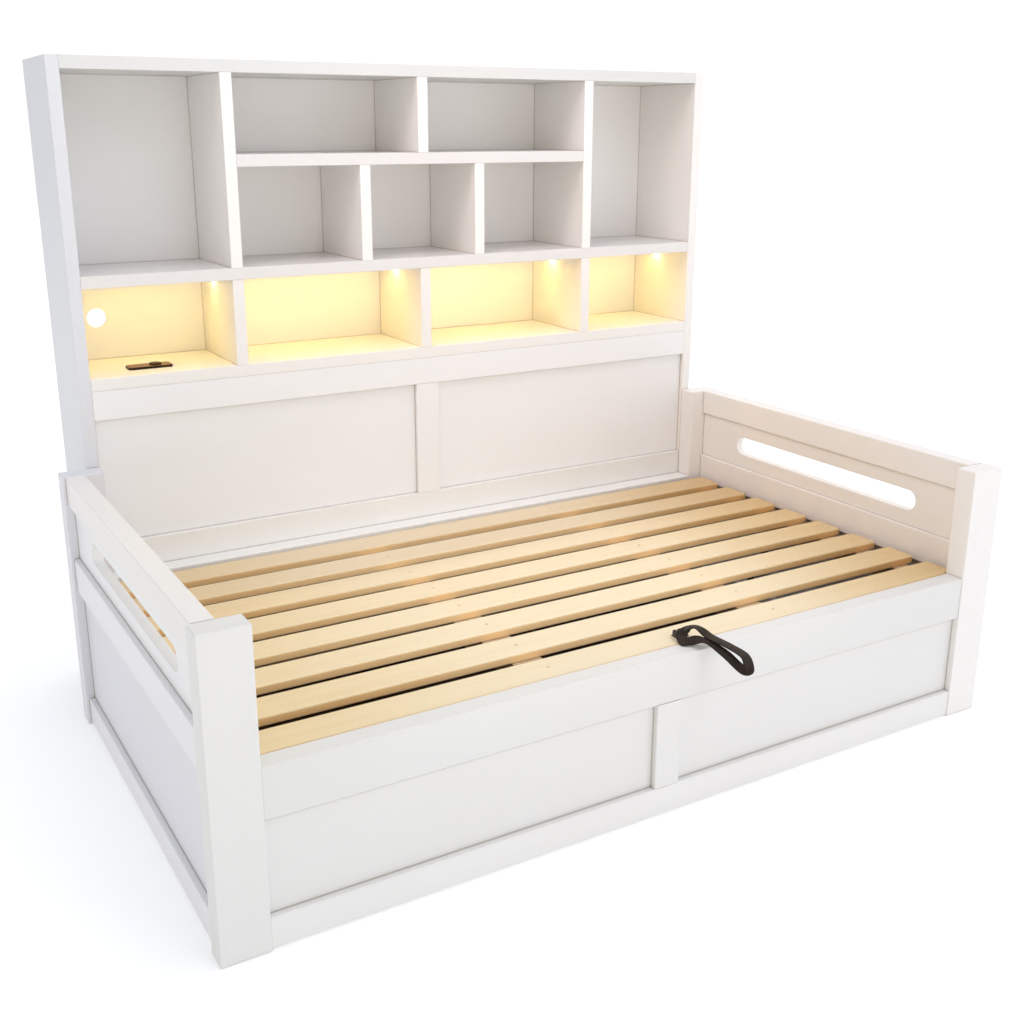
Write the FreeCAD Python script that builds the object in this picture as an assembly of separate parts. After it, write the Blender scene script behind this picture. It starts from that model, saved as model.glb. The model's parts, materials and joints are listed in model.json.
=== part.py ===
"""Single daybed with a lift-up slatted platform over a storage box and a lit bookcase along its back.

Millimetres. X runs along the bed, Y from the front to the bookcase, Z up.
The origin is on the floor, in the middle of the whole footprint, pull strap included.
"""
import FreeCAD, Part
import math
import os

# Whole bed
overall_length = 2040.0
seat_depth = 1140.0
seat_height = 382.0
arm_height = 660.0
floor_gap = 4.0
cut_overrun = 2.0

# Posts and rails
post_width = 100.0
post_depth = 55.0
arm_rail_setback = 8.0
arm_rail_thickness = 45.0
arm_top_rail_height = 73.0
arm_middle_rail_height = 85.0
bottom_rail_height = 67.0
front_rail_setback = 3.0
front_rail_thickness = 47.5
front_rail_height = 107.0
stile_width = 67.0
stile_thickness = 36.0
edge_round = 3.0

# Panels in their grooves
panel_thickness = 12.0
panel_recess = 14.0
slot_panel_thickness = 24.0
slot_panel_height = 138.0
groove_depth = 8.0
groove_clearance = 0.2
slot_length = 705.0
slot_height = 54.0
slot_round = 3.0

# Dowels between the rails and the posts
dowel_radius = 5.0
dowel_length = 60.0
dowel_spacing = 34.0
dowel_clearance = 0.05

# Bookcase
bookcase_height = 1628.0
bookcase_depth = 281.0
board_thickness = 30.0
board_round = 1.5
back_panel_thickness = 9.0
lit_bay_height = 219.0
middle_bay_height = 247.0
upper_bay_height = 192.0
tall_bay_width = 371.0
middle_bay_width = 315.0
cable_hole_radius = 25.0
cable_hole_setback = 85.0

# Panelled headboard below the bookcase
headboard_thickness = 32.0
headboard_rail_height = 74.0
headboard_sill_height = 73.0
headboard_overlap = 52.0
headboard_stile_width = 70.0
headboard_recess = 12.0
headboard_bolt_count = 5
headboard_bolt_inset = 120.0
bolt_radius = 4.0
bolt_length = 62.0
bolt_head_radius = 8.0
bolt_head_height = 4.0
bolt_clearance = 0.1

# Lights, charging panel and switch
light_strip_width = 14.0
light_strip_depth = 7.0
light_strip_setback = 157.0
light_strip_end_gap = 0.5
charging_length = 112.0
charging_width = 48.0
charging_thickness = 6.0
charging_corner = 10.0
charging_round = 1.0
charging_inset = 168.0
charging_setback = 97.0
switch_radius = 16.0
switch_offset = 16.0
switch_rise = 4.0
switch_travel = 2.5
switch_floor_gap = 0.5
switch_clearance = 0.2
switch_round = 1.2
switch_dish_depth = 1.0

# Storage box
floor_panel_thickness = 9.0
floor_panel_clearance = 1.0
floor_batten_width = 30.0
floor_batten_height = 18.0
cleat_depth = 30.0
cleat_height = 30.0

# Slatted platform
slat_count = 8
slat_width = 87.0
slat_thickness = 20.0
slat_round = 3.5
slat_corner_round = 8.0
platform_gap = 2.5
slat_end_gap = 17.0
slat_back_gap = 28.0
slat_overhang = 25.0
end_bearer_width = 49.0
bearer_width = 72.0
bearer_height = 40.0
bearer_setback = 6.0
left_bearer_offset = 257.0
right_bearer_offset = 373.0
platform_rail_depth = 30.0
screw_radius = 2.0
screw_length = 36.0
screw_head_radius = 4.5
screw_head_height = 3.0
screw_sink = 0.4
screw_clearance = 0.05

# Butt hinges along the back of the platform
hinge_count = 3
hinge_inset = 225.0
hinge_drop = 4.0
knuckle_radius = 4.5
knuckle_length = 20.0
knuckle_gap = 0.3
leaf_thickness = 2.5
leaf_margin = 1.0
leaf_clearance = 0.5
hinge_pin_radius = 2.5
pin_clearance = 0.05

# Gas struts: both pivots lie at the same distance from the hinge line
strut_arm = 400.0
strut_foot_height = 48.0
strut_standoff = 21.0
strut_tube_radius = 9.0
strut_rod_radius = 4.0
strut_rod_clearance = 0.3
strut_eye_radius = 10.0
strut_eye_width = 10.0
strut_neck_radius = 5.0
strut_tube_start = 14.0
strut_tube_floor = 4.0
strut_tube_room = 32.0
strut_rod_gap = 8.0
stud_radius = 4.0
stud_clearance = 0.05
stud_overhang = 6.0
bracket_size = 30.0
bracket_thickness = 3.0

# Pull strap and its anchor on the front slat
strap_reach = 140.0
strap_width = 26.0
strap_thickness = 3.5
strap_offset = 85.0
strap_tip_radius = 17.5
strap_tip_height = 4.0
strap_arch_radius = 15.0
strap_arch_height = 18.0
strap_arch_setback = 60.0
strap_waist_radius = 4.5
strap_waist_height = 16.0
strap_waist_setback = 24.0
strap_slit_radius = 1.0
strap_slit_run = 22.0
anchor_bar_radius = 4.0
anchor_bar_clearance = 0.3
anchor_bar_height = 11.0
anchor_setback = 84.0
anchor_plate_thickness = 1.5
anchor_plate_depth = 22.0
anchor_ear_thickness = 3.0
anchor_ear_gap = 0.5
anchor_ear_radius = 7.0

# Places that follow from the sizes above
half_length = overall_length / 2
front_y = (strap_reach - seat_depth - bookcase_depth) / 2
inner_half = half_length - post_width
front_post_y = (front_y, front_y + post_depth)
back_post_y = (front_y + seat_depth - post_depth, front_y + seat_depth)
arm_y = (front_post_y[1], back_post_y[0])
arm_outer = half_length - arm_rail_setback
arm_inner = arm_outer - arm_rail_thickness
bottom_z = (floor_gap, floor_gap + bottom_rail_height)
arm_top_z = (arm_height - arm_top_rail_height, arm_height)
arm_middle_top = arm_top_z[0] - slot_panel_height
arm_middle_z = (arm_middle_top - arm_middle_rail_height, arm_middle_top)
front_rail_face = front_y + front_rail_setback
front_rail_y = (front_rail_face, front_rail_face + front_rail_thickness)
seat_rail_z = (seat_height - front_rail_height, seat_height)
inner_x = (-inner_half, inner_half)

bookcase_y = (back_post_y[1], back_post_y[1] + bookcase_depth)
shelf_y = (bookcase_y[0], bookcase_y[1] - back_panel_thickness)
top_z = (bookcase_height - board_thickness, bookcase_height)
middle_shelf_top = top_z[0] - upper_bay_height
middle_shelf_z = (middle_shelf_top - board_thickness, middle_shelf_top)
lit_shelf_top = middle_shelf_z[0] - middle_bay_height
lit_shelf_z = (lit_shelf_top - board_thickness, lit_shelf_top)
bottom_shelf_top = lit_shelf_z[0] - lit_bay_height
bottom_shelf_z = (bottom_shelf_top - board_thickness, bottom_shelf_top)
tall_divider_outer = inner_half - tall_bay_width
tall_divider_inner = tall_divider_outer - board_thickness
headboard_y = (bookcase_y[0], bookcase_y[0] + headboard_thickness)
headboard_top_z = (bottom_shelf_z[0] - headboard_rail_height, bottom_shelf_z[0])
headboard_sill_z = (seat_height - headboard_overlap, seat_height + headboard_sill_height)
headboard_bolt_spacing = (inner_half - headboard_bolt_inset) * 2 / (headboard_bolt_count - 1)

slat_z = (seat_height - slat_thickness, seat_height)
slat_length = (arm_inner - slat_end_gap) * 2
slat_front = front_rail_y[1] + platform_gap
slat_back = arm_y[1] - slat_back_gap
slat_gap = (slat_back - slat_front - slat_width * slat_count) / (slat_count - 1)
slat_pitch = slat_width + slat_gap
bearer_z = (slat_z[0] - bearer_height, slat_z[0])
platform_back = slat_back - bearer_setback
bearer_y = (slat_front + bearer_setback, platform_back - platform_rail_depth)
platform_rail_y = (bearer_y[1], platform_back)
end_bearer_face = slat_length / 2 - slat_overhang
end_bearer_middle = end_bearer_face - end_bearer_width / 2
bearer_middles = (-end_bearer_middle, -left_bearer_offset, right_bearer_offset, end_bearer_middle)
bearer_widths = (end_bearer_width, bearer_width, bearer_width, end_bearer_width)
hinge_spacing = (end_bearer_face - hinge_inset) * 2 / (hinge_count - 1)
hinge_length = knuckle_length * 3
hinge_y = arm_y[1] - leaf_thickness - leaf_clearance - knuckle_radius
hinge_z = slat_z[0] - hinge_drop
floor_panel_z = (floor_gap + floor_batten_height, floor_gap + floor_batten_height + floor_panel_thickness)

strut_x = arm_inner - strut_standoff
strut_head_z = (bearer_z[0] + bearer_z[1]) / 2
strut_head_y = hinge_y - math.sqrt(strut_arm ** 2 - (hinge_z - strut_head_z) ** 2)
strut_foot_y = hinge_y - math.sqrt(strut_arm ** 2 - (hinge_z - strut_foot_height) ** 2)
strut_length = math.hypot(strut_head_y - strut_foot_y, strut_head_z - strut_foot_height)
strut_tilt = math.degrees(math.atan2(strut_foot_y - strut_head_y, strut_head_z - strut_foot_height))

anchor_y = front_y + anchor_setback
anchor_z = seat_height + anchor_bar_height
strap_x = (strap_offset - strap_width / 2, strap_offset + strap_width / 2)

SIDES = (("left", -1), ("right", 1))
ALONG_X = FreeCAD.Vector(1, 0, 0)
ALONG_Y = FreeCAD.Vector(0, 1, 0)
ALONG_Z = FreeCAD.Vector(0, 0, 1)


def across(side, inner, outer):
    """Span in X between two distances from the middle, on the left (-1) or the right (1)."""
    return tuple(sorted((side * inner, side * outer)))


def centred(middle, size):
    """Span of a size about its middle."""
    return (middle - size / 2, middle + size / 2)


def grown(span, margin):
    """Span made longer by a margin at both ends."""
    return (span[0] - margin, span[1] + margin)


def middle(span):
    """Middle of a span."""
    return (span[0] + span[1]) / 2


def edge_direction(edge):
    """Letter of the axis that a straight edge runs along."""
    box = edge.BoundBox
    lengths = {"x": box.XLength, "y": box.YLength, "z": box.ZLength}
    return max(lengths, key=lengths.get)


def board(x, y, z, radius=0, along=""):
    """Box between three spans, with its edges along the named axes rounded."""
    size = (x[1] - x[0], y[1] - y[0], z[1] - z[0])
    solid = Part.makeBox(*size, FreeCAD.Vector(x[0], y[0], z[0]))
    edges = [edge for edge in solid.Edges if edge_direction(edge) in along]
    if edges:
        solid = solid.makeFillet(radius, edges)
    return solid


def rod(start, axis, radius, length):
    """Round bar from a point along an axis."""
    return Part.makeCylinder(radius, length, FreeCAD.Vector(*start), axis)


def fused(shapes):
    """Several solids as one."""
    return shapes[0].fuse(shapes[1:]).removeSplitter()


def group(shapes):
    """Separate solids that share a node."""
    return Part.makeCompound(shapes)


def teardrop(big, big_radius, small, small_radius):
    """Face in the YZ plane round two circles, given as (y, z) middles, and their outer tangents."""
    run = math.hypot(small[0] - big[0], small[1] - big[1])
    heading = math.atan2(small[1] - big[1], small[0] - big[0])
    spread = math.acos((big_radius - small_radius) / run)

    def point(centre, radius, angle):
        return FreeCAD.Vector(0, centre[0] + radius * math.cos(angle), centre[1] + radius * math.sin(angle))

    upper, lower = heading + spread, heading - spread
    big_arc = Part.Arc(point(big, big_radius, upper), point(big, big_radius, heading + math.pi),
                       point(big, big_radius, lower))
    small_arc = Part.Arc(point(small, small_radius, lower), point(small, small_radius, heading),
                         point(small, small_radius, upper))
    lower_line = Part.LineSegment(point(big, big_radius, lower), point(small, small_radius, lower))
    upper_line = Part.LineSegment(point(small, small_radius, upper), point(big, big_radius, upper))
    outline = [big_arc.toShape(), lower_line.toShape(), small_arc.toShape(), upper_line.toShape()]
    return Part.Face(Part.Wire(outline))


def post(side, y):
    """Corner post."""
    return board(across(side, inner_half, half_length), y, (0, arm_height), edge_round, "xyz")


def arm_rail(side, z):
    """Rail of an arm, between its two posts."""
    return board(across(side, arm_inner, arm_outer), arm_y, z, edge_round, "y")


def arm_panel_x(side, thickness, clearance=0):
    """Span of an arm's panel, set back from the rails' outer faces."""
    face = arm_outer - panel_recess
    return grown(across(side, face - thickness, face), clearance)


def slot_panel(side, clearance=0):
    """Upper panel of an arm, in the grooves of its rails and posts, before its slot is cut."""
    y = grown(arm_y, groove_depth + clearance)
    z = grown((arm_middle_z[1], arm_top_z[0]), groove_depth + clearance)
    return board(arm_panel_x(side, slot_panel_thickness, clearance), y, z)


def slotted_panel(side):
    """Upper panel of an arm with its long round-ended slot, rounded at the rims."""
    x = arm_panel_x(side, slot_panel_thickness)
    cut_x = grown(x, cut_overrun)
    straight = slot_length - slot_height
    y = centred(middle(arm_y), straight)
    z_middle = (arm_middle_z[1] + arm_top_z[0]) / 2
    z = centred(z_middle, slot_height)
    depth = cut_x[1] - cut_x[0]
    ends = [rod((cut_x[0], end, z_middle), ALONG_X, slot_height / 2, depth) for end in y]
    panel = slot_panel(side).cut(fused([board(cut_x, y, z)] + ends))
    reach = grown(centred(middle(arm_y), slot_length), cut_overrun)
    rim = [edge for edge in panel.Edges if lies_flat(edge.BoundBox) and inside(edge.BoundBox, reach)]
    return panel.makeFillet(slot_round, rim)


def lies_flat(box):
    """Whether an edge lies in a plane across X."""
    return box.XLength < slot_round


def inside(box, y):
    """Whether an edge keeps within a span of Y."""
    return box.YMin > y[0] and box.YMax < y[1]


def lower_panel(side, clearance=0):
    """Lower panel of an arm, in the grooves of its rails and posts."""
    y = grown(arm_y, groove_depth + clearance)
    z = grown((bottom_z[1], arm_middle_z[0]), groove_depth + clearance)
    return board(arm_panel_x(side, panel_thickness, clearance), y, z)


def front_panel(side, clearance=0):
    """Front panel beside the centre stile."""
    x = grown(across(side, stile_width / 2, inner_half), groove_depth + clearance)
    face = front_rail_y[0] + panel_recess
    y = grown((face, face + panel_thickness), clearance)
    z = grown((bottom_z[1], seat_rail_z[0]), groove_depth + clearance)
    return board(x, y, z)


def front_stile():
    """Upright between the two front panels."""
    y = (front_rail_y[0], front_rail_y[0] + stile_thickness)
    return board(centred(0, stile_width), y, (bottom_z[1], seat_rail_z[0]), edge_round, "z")


def base_back_panel(clearance=0):
    """Back wall of the storage box, between its rails and posts."""
    y = grown(centred(middle(back_post_y), panel_thickness), clearance)
    z = grown((bottom_z[1], seat_rail_z[0]), groove_depth + clearance)
    return board(grown(inner_x, groove_depth + clearance), y, z)


def headboard_panel(side, clearance=0):
    """Headboard panel beside the centre stile; its outer edge stands against the bookcase's side."""
    x = across(side, headboard_stile_width / 2 - groove_depth - clearance, inner_half)
    face = headboard_y[0] + headboard_recess
    y = grown((face, face + panel_thickness), clearance)
    z = grown((headboard_sill_z[1], headboard_top_z[0]), groove_depth + clearance)
    return board(x, y, z)


def headboard_rail(z):
    """Rail of the headboard, between the bookcase's sides."""
    return board(inner_x, headboard_y, z, board_round, "x")


def headboard_stile():
    """Upright between the two headboard panels."""
    z = (headboard_sill_z[1], headboard_top_z[0])
    return board(centred(0, headboard_stile_width), headboard_y, z, board_round, "z")


def dowel_places():
    """Middle and axis of each dowel, at every end of a rail that meets a post."""
    places = []
    for side_name, side in SIDES:
        x = side * middle((arm_inner, arm_outer))
        for z in (bottom_z, arm_middle_z, arm_top_z):
            for height in centred(middle(z), dowel_spacing):
                places += [((x, y, height), ALONG_Y) for y in arm_y]
        for y in (middle(front_rail_y), middle(back_post_y)):
            for z in (bottom_z, seat_rail_z):
                heights = centred(middle(z), dowel_spacing)
                places += [((side * inner_half, y, height), ALONG_X) for height in heights]
    return places


def dowels(clearance=0):
    """All the dowels, or with a clearance the holes that they sit in."""
    half = dowel_length / 2 + clearance
    pins = []
    for place, axis in dowel_places():
        start = FreeCAD.Vector(*place) - axis * half
        pins.append(rod(start, axis, dowel_radius + clearance, half * 2))
    return group(pins)


def headboard_bolts(clearance=0):
    """Bolts from the headboard's sill into the back rail of the box, or the holes for them."""
    bolts = []
    z = middle((headboard_sill_z[0], seat_height))
    for number in range(headboard_bolt_count):
        x = (number - (headboard_bolt_count - 1) / 2) * headboard_bolt_spacing
        tip = (x, headboard_y[1] - bolt_length - clearance, z)
        shank = rod(tip, ALONG_Y, bolt_radius + clearance, bolt_length + clearance)
        head = rod((x, headboard_y[1], z), ALONG_Y, bolt_head_radius, bolt_head_height)
        bolts.append(fused([shank, head]))
    return group(bolts)


def bookcase_side(side):
    """Side of the bookcase, down to the floor behind the back post."""
    x = across(side, inner_half, inner_half + board_thickness)
    return board(x, bookcase_y, (0, bookcase_height), board_round, "yz")


def shelf(x, z):
    """Board of the bookcase that lies flat."""
    return board(x, shelf_y, z, board_round, "x")


def divider(x, z):
    """Upright board between two shelves."""
    return board(x, shelf_y, z, board_round, "z")


def bookcase_back():
    """Back of the bookcase, with the cable hole into the left lit bay."""
    y = (shelf_y[1], bookcase_y[1])
    panel = board(inner_x, y, (bottom_shelf_z[0], top_z[0]))
    centre = (cable_hole_setback - inner_half, y[0] - cut_overrun, middle((bottom_shelf_z[1], lit_shelf_z[0])))
    return panel.cut(rod(centre, ALONG_Y, cable_hole_radius, back_panel_thickness + cut_overrun * 2))


def lit_bays():
    """Spans in X of the four lit bays."""
    half = board_thickness / 2
    walls = (-inner_half, -tall_divider_outer, -tall_divider_inner, -half)
    left = [(walls[0], walls[1]), (walls[2], walls[3])]
    return left + [(-high, -low) for low, high in reversed(left)]


def light_strips():
    """Light strip under the lit shelf, in each bay from wall to wall."""
    y = centred(shelf_y[0] + light_strip_setback, light_strip_width)
    z = (lit_shelf_z[0] - light_strip_depth, lit_shelf_z[0])
    return group([board(grown(bay, -light_strip_end_gap), y, z, board_round, "x") for bay in lit_bays()])


def charging_middle():
    """Middle of the charging panel on the bottom shelf."""
    return (charging_inset - inner_half, shelf_y[0] + charging_setback)


def charging_panel():
    """Charging panel on the bottom shelf, open under the switch."""
    x, y = charging_middle()
    z = (bottom_shelf_top, bottom_shelf_top + charging_thickness)
    plate = board(centred(x, charging_length), centred(y, charging_width), z, charging_corner, "z")
    rim = [edge for edge in plate.Edges if edge.BoundBox.ZMin > middle(z)]
    plate = plate.makeFillet(charging_round, rim)
    hole = rod((x + switch_offset, y, z[0] - cut_overrun), ALONG_Z, switch_radius + switch_clearance,
               charging_thickness + cut_overrun * 2)
    return plate.cut(hole)


def light_switch():
    """Round push switch of the lights, with a dished top."""
    x, y = charging_middle()
    bottom = bottom_shelf_top + switch_travel + switch_floor_gap
    top = bottom_shelf_top + charging_thickness + switch_rise
    button = rod((x + switch_offset, y, bottom), ALONG_Z, switch_radius, top - bottom)
    rim = [edge for edge in button.Edges if edge.BoundBox.ZMin > middle((bottom, top))]
    button = button.makeFillet(switch_round, rim)
    mouth = switch_radius - switch_round * 2
    dish_radius = (mouth ** 2 + switch_dish_depth ** 2) / (switch_dish_depth * 2)
    dish_z = top - switch_dish_depth + dish_radius
    return button.cut(Part.makeSphere(dish_radius, FreeCAD.Vector(x + switch_offset, y, dish_z)))


def storage_floor():
    """Bottom of the storage box, on its battens."""
    x = grown((-arm_inner, arm_inner), -floor_panel_clearance)
    return board(x, grown(arm_y, -floor_panel_clearance), floor_panel_z)


def floor_battens():
    """Battens under the storage floor: along the front, the middle and the back."""
    z = (floor_gap, floor_panel_z[0])
    x = grown((-arm_inner, arm_inner), -floor_panel_clearance)
    half = floor_batten_width / 2
    rows = (arm_y[0] + half, middle(arm_y), arm_y[1] - half)
    return group([board(x, centred(row, floor_batten_width), z) for row in rows])


def platform_cleats():
    """Strips along the front and the back that the platform rests on when it is down."""
    z = (bearer_z[0] - cleat_height, bearer_z[0])
    rows = ((front_rail_y[1], front_rail_y[1] + cleat_depth), (arm_y[1] - cleat_depth, arm_y[1]))
    return group([board(inner_x, row, z) for row in rows])


def slat_spans():
    """Spans in Y of the slats, from the front."""
    starts = [slat_front + slat_pitch * number for number in range(slat_count)]
    return [(start, start + slat_width) for start in starts]


def slat(y):
    """One slat, with rounded corners and eased edges."""
    plank = board(centred(0, slat_length), y, slat_z, slat_corner_round, "z")
    return plank.makeFillet(slat_round, [edge for edge in plank.Edges if edge_direction(edge) != "z"])


def post_notches():
    """Room for the front posts at the ends of the front slat."""
    y = (slat_front - cut_overrun, front_post_y[1] + platform_gap)
    z = grown(slat_z, cut_overrun)
    return [board(across(side, inner_half - platform_gap, arm_inner), y, z) for name, side in SIDES]


def cross_bearers():
    """Bearers that the slats are screwed to."""
    spans = [centred(x, width) for x, width in zip(bearer_middles, bearer_widths)]
    return group([board(x, bearer_y, bearer_z) for x in spans])


def platform_back_rail():
    """Rail along the back of the platform, which carries the hinges."""
    return board((-end_bearer_face, end_bearer_face), platform_rail_y, bearer_z)


def slat_screws(clearance=0, overrun=0):
    """Screws through the slats into the bearers, or the holes for them, which run out of the slats' tops."""
    screws = []
    top = seat_height - screw_sink
    for y in slat_spans():
        for x in bearer_middles:
            place = (x, middle(y), top - screw_head_height)
            head = rod(place, ALONG_Z, screw_head_radius + clearance, screw_head_height + overrun)
            tip = (x, middle(y), top - screw_length - clearance)
            shank = rod(tip, ALONG_Z, screw_radius + clearance, screw_length + clearance)
            screws.append(fused([head, shank]))
    return group(screws)


def hinge_middles():
    """Middles in X of the hinges."""
    return [(number - (hinge_count - 1) / 2) * hinge_spacing for number in range(hinge_count)]


def knuckle(x):
    """Knuckle of a hinge about the hinge line."""
    return rod((x[0], hinge_y, hinge_z), ALONG_X, knuckle_radius, x[1] - x[0])


def pin_hole(x):
    """Hole along a hinge for its pin."""
    span = grown(centred(x, hinge_length), cut_overrun)
    return rod((span[0], hinge_y, hinge_z), ALONG_X, hinge_pin_radius + pin_clearance, span[1] - span[0])


def leaf_bottom():
    """Lower edge of the hinge leaves."""
    return bearer_z[0] + leaf_margin


def fixed_leaf(x):
    """Leaf on the back rail of the box, with its two outer knuckles."""
    half = knuckle_length / 2
    y = (arm_y[1] - leaf_thickness, arm_y[1])
    pieces = [board(centred(x, hinge_length), y, (leaf_bottom(), hinge_z + knuckle_radius))]
    for start in (x - knuckle_length - half, x + half):
        span = (start, start + knuckle_length)
        pieces += [knuckle(span), board(span, (hinge_y, y[1]), (hinge_z - knuckle_radius, hinge_z))]
    return fused(pieces).cut(pin_hole(x))


def moving_leaf(x):
    """Leaf on the platform's back rail, reaching back to the middle knuckle."""
    span = grown(centred(x, knuckle_length), -knuckle_gap)
    face = (platform_back, platform_back + leaf_thickness)
    web_z = centred(hinge_z, leaf_thickness)
    plate = board(centred(x, hinge_length), face, (leaf_bottom(), web_z[1]))
    web = board(span, (face[0], hinge_y), web_z)
    return fused([plate, web, knuckle(span)]).cut(pin_hole(x))


def hinge_pin(x):
    """Pin along the hinge line."""
    return rod((x - hinge_length / 2, hinge_y, hinge_z), ALONG_X, hinge_pin_radius, hinge_length)


def strut_bracket(side, face, y, z, inward):
    """Plate against a face across X, with the stud that a strut turns on."""
    plate_x = across(side, face, face + inward * bracket_thickness)
    plate = board(plate_x, centred(y, bracket_size), centred(z, bracket_size), edge_round, "x")
    tip = strut_x + inward * (strut_eye_width / 2 + stud_overhang)
    stud_x = across(side, face, tip)
    return fused([plate, rod((stud_x[0], y, z), ALONG_X, stud_radius, stud_x[1] - stud_x[0])])


def strut_placed(shape, side, y, z):
    """Shape made along Z at the origin, tilted to the strut's line and set on a pivot."""
    shape.rotate(FreeCAD.Vector(0, 0, 0), ALONG_X, strut_tilt)
    shape.translate(FreeCAD.Vector(side * strut_x, y, z))
    return shape


def strut_eye():
    """Eye at the end of a strut, about the X axis."""
    return rod((-strut_eye_width / 2, 0, 0), ALONG_X, strut_eye_radius, strut_eye_width)


def stud_hole():
    """Hole through an eye for the stud."""
    return rod((-strut_eye_width, 0, 0), ALONG_X, stud_radius + stud_clearance, strut_eye_width * 2)


def strut_cylinder(side):
    """Tube of a gas strut, on the bracket at the bottom of the arm."""
    top = strut_length - strut_tube_room
    neck = rod((0, 0, 0), ALONG_Z, strut_neck_radius, strut_tube_start)
    tube = rod((0, 0, strut_tube_start), ALONG_Z, strut_tube_radius, top - strut_tube_start)
    body = fused([strut_eye(), neck, tube]).cut(stud_hole())
    floor = strut_tube_start + strut_tube_floor
    bore = rod((0, 0, floor), ALONG_Z, strut_rod_radius + strut_rod_clearance, top - floor + cut_overrun)
    return strut_placed(body.cut(bore), side, strut_foot_y, strut_foot_height)


def strut_rod(side):
    """Rod of a gas strut, on the bracket of the platform's end bearer."""
    reach = strut_length - strut_tube_start - strut_tube_floor - strut_rod_gap
    bar = rod((0, 0, -reach), ALONG_Z, strut_rod_radius, reach)
    body = fused([strut_eye(), bar]).cut(stud_hole())
    return strut_placed(body, side, strut_head_y, strut_head_z)


def strap_anchor():
    """Plate on the front slat with two ears and the bar that the strap turns on."""
    half = strap_width / 2 + anchor_ear_gap
    x = centred(strap_offset, (half + anchor_ear_thickness) * 2)
    base_z = (seat_height, seat_height + anchor_plate_thickness)
    pieces = [board(x, centred(anchor_y, anchor_plate_depth), base_z)]
    for ear in ((x[0], x[0] + anchor_ear_thickness), (x[1] - anchor_ear_thickness, x[1])):
        pieces.append(board(ear, centred(anchor_y, anchor_ear_radius * 2), (seat_height, anchor_z)))
        pieces.append(rod((ear[0], anchor_y, anchor_z), ALONG_X, anchor_ear_radius, anchor_ear_thickness))
    pieces.append(rod((x[0], anchor_y, anchor_z), ALONG_X, anchor_bar_radius, x[1] - x[0]))
    return fused(pieces)


def pull_strap():
    """Webbing loop: an arch over the anchor's bar, a sewn waist and a loop to pull on."""
    band = strap_thickness
    bar = (anchor_y, anchor_z)
    arch = (front_y + strap_arch_setback, seat_height + strap_arch_height)
    waist = (front_y + strap_waist_setback, seat_height + strap_waist_height)
    tip = (front_y - strap_reach + strap_tip_radius, seat_height + strap_tip_height)
    share = strap_slit_run / math.hypot(tip[0] - waist[0], tip[1] - waist[1])
    slit = (waist[0] + (tip[0] - waist[0]) * share, waist[1] + (tip[1] - waist[1]) * share)
    bar_radius = anchor_bar_radius + anchor_bar_clearance
    outer = [teardrop(arch, strap_arch_radius, bar, bar_radius + band),
             teardrop(arch, strap_arch_radius, waist, strap_waist_radius),
             teardrop(tip, strap_tip_radius, waist, strap_waist_radius)]
    inner = [teardrop(arch, strap_arch_radius - band, bar, bar_radius),
             teardrop(arch, strap_arch_radius - band, waist, strap_slit_radius),
             teardrop(tip, strap_tip_radius - band, slit, strap_slit_radius)]
    push = ALONG_X * strap_width
    solid = fused([face.extrude(push) for face in outer])
    solid = solid.cut(fused([face.extrude(push) for face in inner[:2]]))
    solid = solid.cut(inner[2].extrude(push)).removeSplitter()
    solid.translate(ALONG_X * strap_x[0])
    return solid


def arm_nodes(nodes):
    """Posts, rails and panels of the two arms."""
    holes = dowels(dowel_clearance)
    for name, side in SIDES:
        rooms = [slot_panel(side, groove_clearance), lower_panel(side, groove_clearance), holes]
        front_rooms = rooms + [front_panel(side, groove_clearance)]
        back_rooms = rooms + [base_back_panel(groove_clearance)]
        nodes[name + "_front_post"] = post(side, front_post_y).cut(group(front_rooms))
        nodes[name + "_back_post"] = post(side, back_post_y).cut(group(back_rooms))
        nodes[name + "_arm_top_rail"] = arm_rail(side, arm_top_z).cut(group(rooms))
        nodes[name + "_arm_middle_rail"] = arm_rail(side, arm_middle_z).cut(group(rooms))
        nodes[name + "_arm_bottom_rail"] = arm_rail(side, bottom_z).cut(group(rooms))
        nodes[name + "_arm_slot_panel"] = slotted_panel(side)
        nodes[name + "_arm_lower_panel"] = lower_panel(side)
    nodes["rail_dowels"] = dowels()


def box_nodes(nodes):
    """Front, back and floor of the storage box."""
    holes = dowels(dowel_clearance)
    rooms = [front_panel(side, groove_clearance) for name, side in SIDES]
    front_rail = board(inner_x, front_rail_y, seat_rail_z, edge_round, "x")
    front_foot = board(inner_x, front_rail_y, bottom_z, edge_round, "x")
    nodes["front_top_rail"] = front_rail.cut(group(rooms + [holes]))
    nodes["front_bottom_rail"] = front_foot.cut(group(rooms + [holes]))
    nodes["front_centre_stile"] = front_stile().cut(group(rooms))
    nodes["front_panels"] = group([front_panel(side) for name, side in SIDES])
    room = base_back_panel(groove_clearance)
    back_rail = board(inner_x, back_post_y, seat_rail_z, edge_round, "x")
    back_foot = board(inner_x, back_post_y, bottom_z, edge_round, "x")
    nodes["base_back_rail"] = back_rail.cut(group([room, holes, headboard_bolts(bolt_clearance)]))
    nodes["base_back_bottom_rail"] = back_foot.cut(group([room, holes]))
    nodes["base_back_panel"] = base_back_panel()
    nodes["storage_floor"] = storage_floor()
    nodes["floor_battens"] = floor_battens()
    nodes["platform_cleats"] = platform_cleats()


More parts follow.
